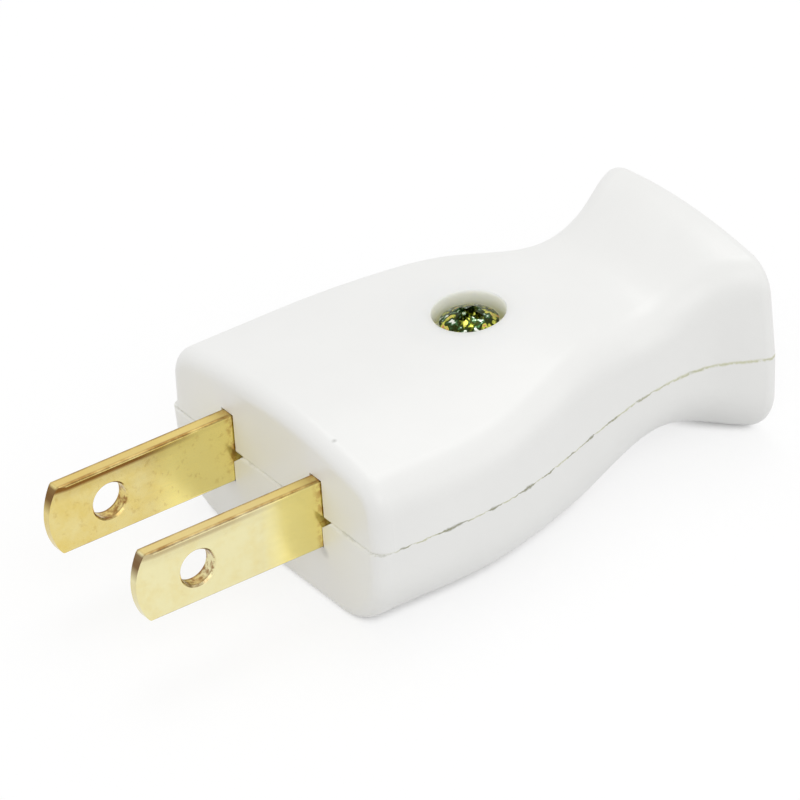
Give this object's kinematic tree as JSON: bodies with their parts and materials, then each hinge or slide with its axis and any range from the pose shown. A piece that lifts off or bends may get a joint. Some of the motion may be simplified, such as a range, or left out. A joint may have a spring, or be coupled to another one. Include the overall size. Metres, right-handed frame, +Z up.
{
  "type": "rewirable two-blade mains plug",
  "caption": "White fishtail mains plug in screwed moulded halves, with flat parallel brass blades at the front and a round cord inlet in its flared tail.",
  "frame": {"origin": "middle of the front face that meets the socket, halfway between the blades at half their height", "axes": "-Y along the blades into the socket, +Y to the cord inlet, X across from blade to blade, +Z up on the casing screw's side"},
  "size_m": [0.0302, 0.0598, 0.0177],
  "materials": {
    "casing_plastic": "white moulded plastic, satin",
    "blade_brass": "rolled and polished, lightly tarnished at the edges",
    "terminal_steel": "bright zinc plate",
    "casing_screw_zinc": "yellow-passivated zinc plate, iridescent",
    "clamp_fibre": "vulcanised fibre, matt"
  },
  "bodies": {
    "root": {"upper_casing": "casing_plastic", "lower_casing": "casing_plastic", "blade_left": "blade_brass", "blade_right": "blade_brass", "terminal_washer_left": "terminal_steel", "terminal_washer_right": "terminal_steel", "terminal_screw_left": "terminal_steel", "terminal_screw_right": "terminal_steel", "casing_screw": "casing_screw_zinc", "casing_nut": "casing_screw_zinc", "cord_clamp": "clamp_fibre", "clamp_screw_left": "terminal_steel", "clamp_screw_right": "terminal_steel"}
  },
  "joints": []
}
